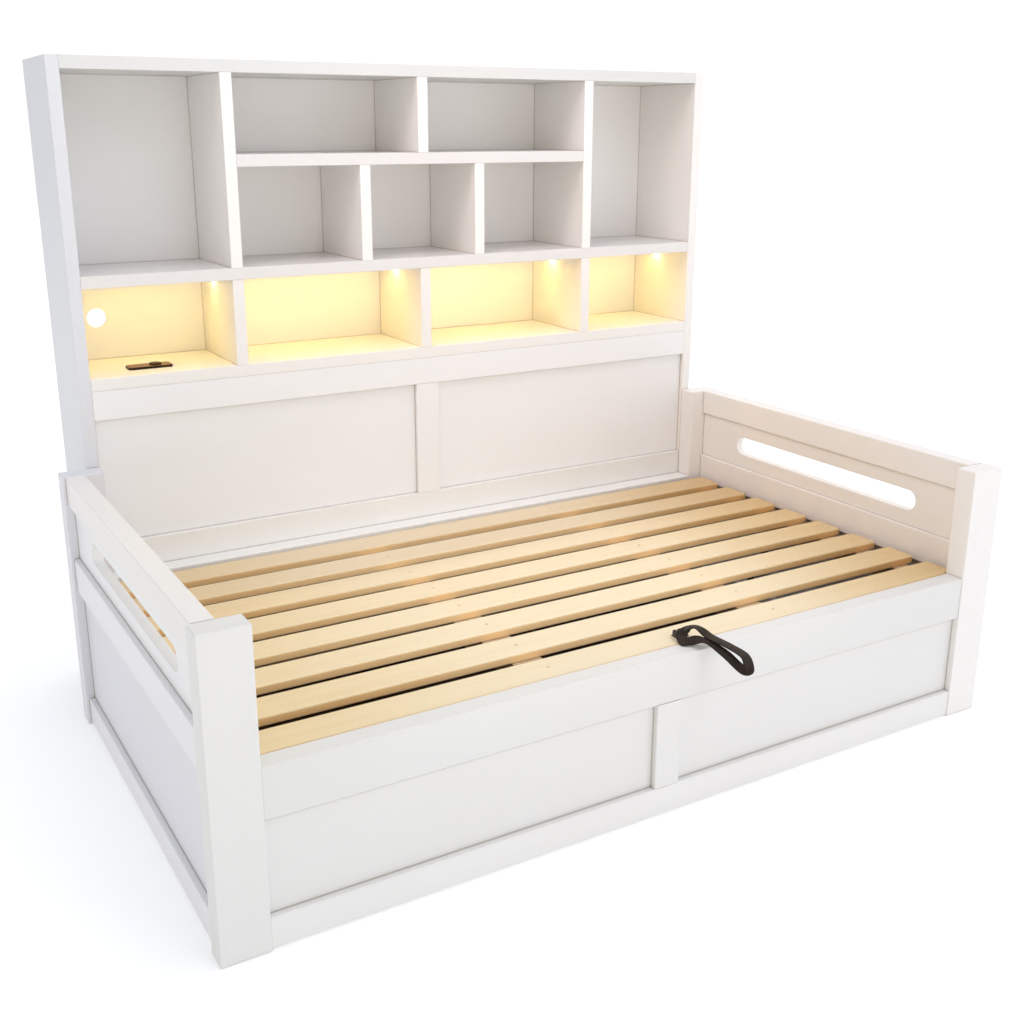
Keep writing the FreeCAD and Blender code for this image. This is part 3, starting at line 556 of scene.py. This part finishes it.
def strap_webbing():
    """Black-brown webbing: fine ribs across the band and a twill within them, worn paler on top, and painted
    shade along its edges.
    """
    finish = Finish("strap_webbing", {"Sheen Weight": 0.12, "Sheen Roughness": 0.45,
                                      "Sheen Tint": (0.75, 0.62, 0.52), "Specular IOR Level": 0.25})
    band = finish.node("ShaderNodeUVMap", {"uv_map": "band"})
    run = finish.axis(band, "X")
    across = finish.axis(band, "Y")
    ribs = run.waves(2 * math.pi / RIB_PITCH)
    twill = (run * 0.55 + across).waves(2 * math.pi / TWILL_PITCH)
    lint = finish.streaks(band, (0.9, 2.2, 1.0), detail=4.0, roughness=0.65)
    wear = finish.streaks(band, (0.05, 0.10, 1.0), detail=3.0, roughness=0.6)
    weave = ribs * 0.55 + twill * 0.45
    dark = finish.mixed(weave, (0.010, 0.007, 0.005), (0.038, 0.024, 0.017))
    worn = finish.mixed(lint, dark, (0.070, 0.047, 0.034))
    face = finish.mixed(wear.between(0.40, 0.70) * 0.6, dark, worn)
    # painted shade: the band's edges near black
    colour = finish.mixed(across.size().between(*EDGE_SHADE_SPAN), face, (0.006, 0.005, 0.005))
    return finish.shows(base_color=colour, roughness=0.68 + lint * 0.2,
                        normal=finish.relief(weave * 0.8 + lint * 0.2, depth=0.0005, strength=0.8))


def sewing_thread():
    """Twisted black thread."""
    finish = Finish("sewing_thread", {"Sheen Weight": 0.3})
    twist = finish.noise(finish.place(), scale=1500.0)
    colour = finish.mixed(twist, (0.020, 0.017, 0.015), (0.070, 0.058, 0.050))
    return finish.shows(base_color=colour, roughness=0.6 + twist * 0.2)


def charging_gloss():
    """Brown wood-effect face of the charging panel, streaked along it, on a dark moulded body."""
    finish = Finish("charging_panel_gloss", {"Specular IOR Level": 0.15, "Coat Roughness": 0.06})
    place = finish.place()
    streaks = finish.streaks(place, along("X", 14.0, 260.0), detail=4.0, roughness=0.6, distortion=0.4)
    cloud = finish.noise(place, scale=90.0)
    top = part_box("charging_panel")[1].z
    face = finish.axis(place, "Z").between(*(top - skin for skin in PRINT_SKIN))
    brown = finish.ramp(streaks, [(0.30, (0.110, 0.044, 0.012)), (0.50, (0.215, 0.105, 0.033)),
                                  (0.70, (0.330, 0.180, 0.062))])
    body = finish.mixed(cloud, (0.014, 0.005, 0.002), (0.028, 0.011, 0.005))
    return finish.shows(base_color=finish.mixed(face, body, brown), roughness=0.30 + streaks * 0.16,
                        coat_weight=0.06 + cloud * 0.06)


def dark_plastic():
    """Dark moulded plastic of the push switch and of the struts' seals, finely turned."""
    finish = Finish("switch_plastic", {"Specular IOR Level": 0.12})
    place = finish.place()
    speckle = finish.noise(place, scale=1600.0)
    cloud = finish.noise(place, scale=120.0)
    colour = finish.mixed(cloud, (0.018, 0.006, 0.002), (0.036, 0.013, 0.005))
    return finish.shows(base_color=colour, roughness=0.36 + speckle * 0.14,
                        normal=finish.relief(speckle, depth=0.00004, strength=0.4))


def lit_diffuser(strips):
    """Light strips: white channels whose frosted covers, underneath, glow warm, whiter at one end."""
    finish = Finish("lit_diffuser", {"Emission Strength": LIGHT_STRENGTH, "Roughness": 0.6})
    place = finish.place()
    x = finish.axis(place, "X")
    dots = x.waves(2 * math.pi / DOT_PITCH)
    bottom = strips[0][0].z
    cover = 1 - finish.axis(place, "Z").between(*(bottom + skin for skin in COVER_SKIN))
    ends = [1 - (x - high.x).size().between(*WHITE_END) for _, high in strips]
    white = ends[0]
    for end in ends[1:]:
        white = white.most(end)
    warm = finish.mixed(dots, (1.0, 0.62, 0.068), (1.0, 0.70, 0.092))
    glow = finish.mixed(white, warm, (1.0, 0.90, 0.62))
    frost = finish.mixed(dots, (0.86, 0.80, 0.62), (0.92, 0.86, 0.68))
    return finish.shows(base_color=finish.mixed(cover, (0.82, 0.81, 0.79), frost),
                        emission_color=finish.mixed(cover, (0.0, 0.0, 0.0), glow))


def solids(node):
    """Lowest and highest corners of each solid in a node."""
    mesh = bmesh.new()
    mesh.from_mesh(frame["nodes"][node].data)
    bmesh.ops.remove_doubles(mesh, verts=mesh.verts, dist=WELD)
    boxes, left = [], set(mesh.verts)
    while left:
        found = [left.pop()]
        for vert in found:
            near = {edge.other_vert(vert) for edge in vert.link_edges} & left
            left -= near
            found.extend(near)
        boxes.append([Vector(pick(vert.co[k] for vert in found) for k in range(3)) for pick in (min, max)])
    mesh.free()
    return sorted(boxes, key=lambda box: tuple(round(value, 4) for value in box[0]))


def paint_cad_nodes():
    """Gives every carried-over node its finish, and returns the finishes by node."""
    chosen = [
        (slat_pine(solids("slats")), "slats"),
        (bare_timber("X", PLAIN), "platform_back_rail platform_cleats floor_battens"),
        (bare_timber("Y", BEARER_SHADE_TINT), "cross_bearers rail_dowels"),
        (stain_and_shade_plywood(), "storage_floor"),
        (zinc_plate(), """hinge_fixed_leaves hinge_moving_leaves hinge_pins headboard_bolts
            strut_base_brackets strut_platform_brackets"""),
        (chromed_rod(), "left_strut_rod right_strut_rod"),
        (black_enamel(), "left_strut_cylinder right_strut_cylinder strap_anchor"),
        (yellow_zinc(), "slat_screws"),
        (charging_gloss(), "charging_panel"),
        (dark_plastic(), "light_switch"),
        (lit_diffuser(solids("light_strips")), "light_strips")]
    for name, (axis, tint, boards) in PAINTED_BOARDS.items():
        chosen.append((painted_wood(name, axis, tint), boards))
    for name, (reach, tint, panels) in PAINTED_PANELS.items():
        chosen.append((painted_panel(name, reach, tint), panels))
    for board in ("base_back_panel", "base_back_bottom_rail"):
        chosen.append((half_painted_board(board), board))
    finishes = {node: finish for finish, nodes in chosen for node in nodes.split()}
    for node, finish in finishes.items():
        mesh = frame["nodes"][node].data
        mesh.materials.clear()
        mesh.materials.append(finish)
    return finishes


def new_piece(name, mesh, material, body):
    """Object that rides on a body, with the finish it is given."""
    piece = bpy.data.objects.new(name, mesh)
    bpy.context.scene.collection.objects.link(piece)
    mesh.materials.append(material)
    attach(piece, body)
    return piece


def closed_curve(points):
    """Smooth closed line through the points, with some steps from each to the next."""
    total = len(points)
    line = []
    for number in range(total):
        before, start, end, after = [points[(number + k) % total] for k in (-1, 0, 1, 2)]
        bend = 2 * before - 5 * start + 4 * end - after
        twist = 3 * start - before - 3 * end + after
        for step in range(CURVE_STEPS):
            t = step / CURVE_STEPS
            line.append(0.5 * (2 * start + (end - before) * t + bend * t ** 2 + twist * t ** 3))
    return line


def band_profile(half_width, half_thickness, corner):
    """Points round a flat band's section: across it and out from its face."""
    profile = []
    for first, (side, face) in enumerate(((1, 1), (-1, 1), (-1, -1), (1, -1))):
        for step in range(CORNER_STEPS + 1):
            angle = math.radians(90 * (first + step / CORNER_STEPS))
            profile.append((side * (half_width - corner) + corner * math.cos(angle),
                            face * (half_thickness - corner) + corner * math.sin(angle)))
    return profile


def band_stations(route, origin):
    """Places along a closed band: its middle, and the ways across it and out of its face."""
    middles = closed_curve([origin + Vector(middle) * MM for middle, way in route])
    ways = closed_curve([Vector(way).normalized() for middle, way in route])
    stations = []
    for number, middle in enumerate(middles):
        heading = (middles[(number + 1) % len(middles)] - middles[number - 1]).normalized()
        across = ways[number].normalized()
        stations.append((middle, across, heading.cross(across).normalized()))
    return stations


def band_mesh(name, stations, width, thickness):
    """Closed flat band, with a map of millimetres along and across it."""
    count = len(stations)
    half = thickness / 2
    profile = band_profile(width / 2, half, half * BAND_ROUNDING)
    mesh = bmesh.new()
    band = mesh.loops.layers.uv.new("band")
    rings, runs, run = [], [], 0.0
    for number, (middle, across, out) in enumerate(stations):
        rings.append([mesh.verts.new(middle + (across * a + out * n) * MM) for a, n in profile])
        runs.append(run)
        run += (stations[(number + 1) % count][0] - middle).length / MM
    runs.append(run)
    for number, ring in enumerate(rings):
        following = rings[(number + 1) % count]
        for k in range(len(ring)):
            j = (k + 1) % len(ring)
            face = mesh.faces.new((ring[k], following[k], following[j], ring[j]))
            for loop, (step, corner) in zip(face.loops, ((0, k), (1, k), (1, j), (0, j))):
                loop[band].uv = (runs[number + step], profile[corner][0])
    return smooth_mesh(name, mesh)


def smooth_mesh(name, mesh):
    """Mesh with smooth shading, apart from its sharp edges."""
    bmesh.ops.recalc_face_normals(mesh, faces=mesh.faces)
    data = bpy.data.meshes.new(name)
    mesh.to_mesh(data)
    mesh.free()
    data.shade_smooth()
    data.set_sharp_from_angle(angle=SHARP_EDGE)
    return data


def pull_strap():
    """Webbing sewn into a long banked loop, and the tab that holds it on the anchor's bar."""
    low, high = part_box("pull_strap")
    origin = Vector(((low.x + high.x) / 2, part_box("left_front_post")[0].y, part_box("slats")[1].z))
    webbing = strap_webbing()
    loop = band_stations(STRAP_ROUTE, origin)
    tab = band_stations(TAB_ROUTE, origin)
    pieces = [new_piece("pull_strap_loop", band_mesh("pull_strap_loop", loop, STRAP_WIDTH, STRAP_THICKNESS),
                        webbing, "pull_loop"),
              new_piece("pull_strap_tab", band_mesh("pull_strap_tab", tab, TAB_WIDTH, TAB_THICKNESS),
                        webbing, "pull_loop")]
    for piece in pieces:
        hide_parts("pull_strap")
    root = STITCH_POINT * CURVE_STEPS
    places = []
    for middle, across, out in loop[root - STITCH_REACH:root + STITCH_REACH + 1]:
        out = out if out.z > 0 else -out
        turn = Matrix((across, out.cross(across), out)).transposed().to_4x4()
        places.append(Matrix.Translation(middle + out * STRAP_THICKNESS / 2 * MM) @ turn)
    data = repeated("pull_strap_stitches", stitch(STITCH_LENGTH, STITCH_RADIUS), places)
    new_piece("pull_strap_stitches", data, sewing_thread(), "pull_loop")


def row(mesh, outline, z):
    """Corners of an outline at one height."""
    return [mesh.verts.new((x, y, z)) for x, y in outline]


def wall(mesh, first, second):
    """Faces between two closed rows of as many corners."""
    for k in range(len(first)):
        mesh.faces.new((first[k - 1], first[k], second[k], second[k - 1]))


def circle(radius, count=32):
    angles = [2 * math.pi * k / count for k in range(count)]
    return [(radius * math.cos(angle), radius * math.sin(angle)) for angle in angles]


def cross(reach, half):
    """Outline of a cross with four equal arms."""
    arm = [(reach, -half), (reach, half), (half, half)]
    turns = [(1, 0), (0, 1), (-1, 0), (0, -1)]
    return [(x * c - y * n, x * n + y * c) for c, n in turns for x, y in arm]


def screw_head(profile, recess):
    """Screw head from its foot up to its flat top, with a cross recess in the top."""
    mesh = bmesh.new()
    rows = [row(mesh, circle(radius), z) for radius, z in profile]
    for first, second in zip(rows, rows[1:]):
        wall(mesh, first, second)
    radius, top = profile[-1]
    mouth = row(mesh, cross(*(radius * share for share in RECESS_MOUTH)), top)
    foot = row(mesh, cross(*(radius * share for share in RECESS_FOOT)), top - recess)
    wall(mesh, mouth, foot)
    mesh.faces.new(foot)
    mesh.faces.new(rows[0])
    rim = [mesh.edges.get((loop[k - 1], loop[k])) for loop in (rows[-1], mouth) for k in range(len(loop))]
    bmesh.ops.bridge_loops(mesh, edges=rim)
    return smooth_mesh("screw_head", mesh)


def stitch(length, radius):
    """Stitch of thread along X that dips in at both ends."""
    mesh = bmesh.new()
    rings = []
    for k in range(-STITCH_STEPS, STITCH_STEPS + 1):
        t = k / STITCH_STEPS
        middle = Vector((t * length / 2, 0.0, radius * (0.9 - 1.6 * t ** 4)))
        rings.append([mesh.verts.new(middle + Vector((0.0, y, z))) for y, z in circle(radius, 8)])
    for first, second in zip(rings, rings[1:]):
        wall(mesh, first, second)
    for ring in (rings[0], rings[-1]):
        mesh.faces.new(ring)
    return smooth_mesh("stitch", mesh)


def repeated(name, template, places):
    """One mesh of copies of a template, each at its own place."""
    mesh = bmesh.new()
    for place in places:
        start = len(mesh.verts)
        mesh.from_mesh(template)
        mesh.verts.ensure_lookup_table()
        bmesh.ops.transform(mesh, matrix=place, verts=mesh.verts[start:])
    return smooth_mesh(name, mesh)


def slat_screws(finish):
    """Countersunk screws in the slats, each stopped at a turn of its own."""
    boxes = solids("slat_screws")
    places = []
    for low, high in boxes:
        middle = (low + high) / 2
        turn = Matrix.Rotation(random.uniform(0.0, math.pi), 4, "Z")
        places.append(Matrix.Translation((middle.x, middle.y, high.z)) @ turn)
    low, high = boxes[-1]
    radius = (high.x - low.x) / 2
    head = screw_head([(radius * share, z) for share, z in SLAT_SCREW_RINGS], SLAT_SCREW_RECESS)
    piece = new_piece("slat_screw_heads", repeated("slat_screw_heads", head, places), finish,
                      "slat_platform")
    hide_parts("slat_screws")


def bracket_screws(node, body, wall_end, finish):
    """Pan-head screws at the corners of the strut brackets' plates.

    The plate is the outer end of a bracket where wall_end is 1, and its inner end where it is 0.
    """
    places = []
    for low, high in solids(node):
        ends = sorted((low.x, high.x), key=abs)
        way = Vector((ends[1 - wall_end] - ends[wall_end], 0.0, 0.0)).normalized()
        turn = way.to_track_quat("Z", "Y").to_matrix().to_4x4()
        face = ends[wall_end] + way.x * BRACKET_PLATE
        middle = (low + high) / 2
        for y in (-BRACKET_SCREW_OFFSET, BRACKET_SCREW_OFFSET):
            for z in (-BRACKET_SCREW_OFFSET, BRACKET_SCREW_OFFSET):
                spin = Matrix.Rotation(random.uniform(0.0, math.pi), 4, "Z")
                places.append(Matrix.Translation((face, middle.y + y, middle.z + z)) @ turn @ spin)
    head = screw_head(BRACKET_SCREW_RINGS, BRACKET_SCREW_RECESS)
    new_piece(node + "_screws", repeated(node + "_screws", head, places), finish, body)


def strut_collar(side, finish):
    """Rounded seal where a strut's rod comes out of its tube."""
    pivots = {joint["name"]: Vector(joint["pos_m"]) for joint in frame["joints"] if "pos_m" in joint}
    foot = pivots[side + "_strut_tilt"]
    axis = (pivots[side + "_rod_tilt"] - foot).normalized()
    tube = frame["nodes"][side + "_strut_cylinder"].data
    end = max((vert.co - foot).dot(axis) for vert in tube.vertices)
    turn = axis.to_track_quat("Z", "Y").to_matrix()
    mesh = bmesh.new()
    rings = []
    for k in range(COLLAR_SPOKES):
        angle = 2 * math.pi * k / COLLAR_SPOKES
        spoke = Vector((math.cos(angle), math.sin(angle), 0.0))
        points = [spoke * radius * MM + Vector((0.0, 0.0, end + rise * MM)) for radius, rise in COLLAR_RINGS]
        rings.append([mesh.verts.new(foot + turn @ point) for point in points])
    for k in range(len(rings)):
        wall(mesh, rings[k - 1], rings[k])
    name = side + "_strut_collar"
    new_piece(name, smooth_mesh(name, mesh), finish, side + "_strut_tube")


def camera():
    """Camera that was fitted to the photograph."""
    data = bpy.data.cameras.new("camera")
    data.sensor_width = SENSOR_WIDTH
    data.lens = FOCAL_PIXELS * SENSOR_WIDTH / IMAGE_SIDE
    data.shift_x = (IMAGE_SIDE / 2 - OPTICAL_CENTRE[0]) / IMAGE_SIDE
    data.shift_y = (OPTICAL_CENTRE[1] - IMAGE_SIDE / 2) / IMAGE_SIDE
    data.clip_start, data.clip_end = CAMERA_CLIP
    eye = bpy.data.objects.new("camera", data)
    level = math.cos(CAMERA_TILT)
    ahead = Vector((level * math.sin(CAMERA_TURN), level * math.cos(CAMERA_TURN), -math.sin(CAMERA_TILT)))
    eye.location = CAMERA_PLACE
    eye.rotation_euler = ahead.to_track_quat("-Z", "Y").to_euler()
    bpy.context.scene.collection.objects.link(eye)
    bpy.context.scene.camera = eye


def floor():
    """Plain pale studio floor, which glows white far from the bed."""
    mesh = bmesh.new()
    half = FLOOR_SIDE / 2
    corners = [(-half, -half), (half, -half), (half, half), (-half, half)]
    mesh.faces.new([mesh.verts.new((x, y, -FLOOR_DROP)) for x, y in corners])
    data = bpy.data.meshes.new("studio_floor")
    mesh.to_mesh(data)
    mesh.free()
    finish = Finish("studio_floor", {"Emission Strength": 0.5})
    place = finish.place()
    far = finish.length(place).between(*FLOOR_FADE)
    cloud = finish.noise(place, scale=0.6)
    data.materials.append(finish.shows(base_color=finish.mixed(cloud, (0.93, 0.93, 0.93), (0.96, 0.96, 0.96)),
                                       emission_color=finish.mixed(far, (0.48, 0.48, 0.48), (1.0, 1.0, 1.0)),
                                       roughness=0.7 + cloud * 0.1))
    ground = bpy.data.objects.new("studio_floor", data)
    bpy.context.scene.collection.objects.link(ground)


def soft_box(name, place, target, size, watts, colour, spread):
    """Soft lamp that no view shows, aimed at a point; a grid keeps its light within the spread."""
    data = bpy.data.lights.new(name, "AREA")
    data.shape = "RECTANGLE"
    data.size, data.size_y = size
    data.energy = watts
    data.color = colour
    data.spread = math.radians(spread)
    lamp = bpy.data.objects.new(name, data)
    lamp.visible_camera = False
    lamp.location = place
    lamp.rotation_euler = (Vector(target) - Vector(place)).to_track_quat("-Z", "Y").to_euler()
    bpy.context.scene.collection.objects.link(lamp)


def studio():
    """White surround, dimmer on the left, and the soft lamps."""
    scene = bpy.context.scene
    scene.view_settings.view_transform = "Standard"
    world = bpy.data.worlds.new("white_surround")
    world.use_nodes = True
    scene.world = world
    surround = Graph(world.node_tree)
    way = surround.node("ShaderNodeTexCoord", output="Generated")
    share = (surround.axis(way, "X") * 0.9 + surround.axis(way, "Y") * 0.3) * 0.5 + 0.5
    shade = surround.ramp(share, [(0.05, (0.49, 0.44, 0.37)), (0.40, (0.47, 0.52, 0.63)),
                                  (0.62, (1.0, 1.0, 1.0))])
    background = world.node_tree.nodes["Background"].inputs
    surround.feed(background["Color"], shade)
    surround.feed(background["Strength"], SURROUND_STRENGTH)
    for name, lamp in LAMPS.items():
        soft_box(name + "_soft_box", *lamp)


random.seed(SEED)
finishes = paint_cad_nodes()
pull_strap()
slat_screws(finishes["slat_screws"])
bracket_screws("strut_base_brackets", "bed_frame", 1, finishes["strut_base_brackets"])
bracket_screws("strut_platform_brackets", "slat_platform", 0, finishes["strut_platform_brackets"])
for side in ("left", "right"):
    strut_collar(side, finishes["light_switch"])
camera()
floor()
studio()
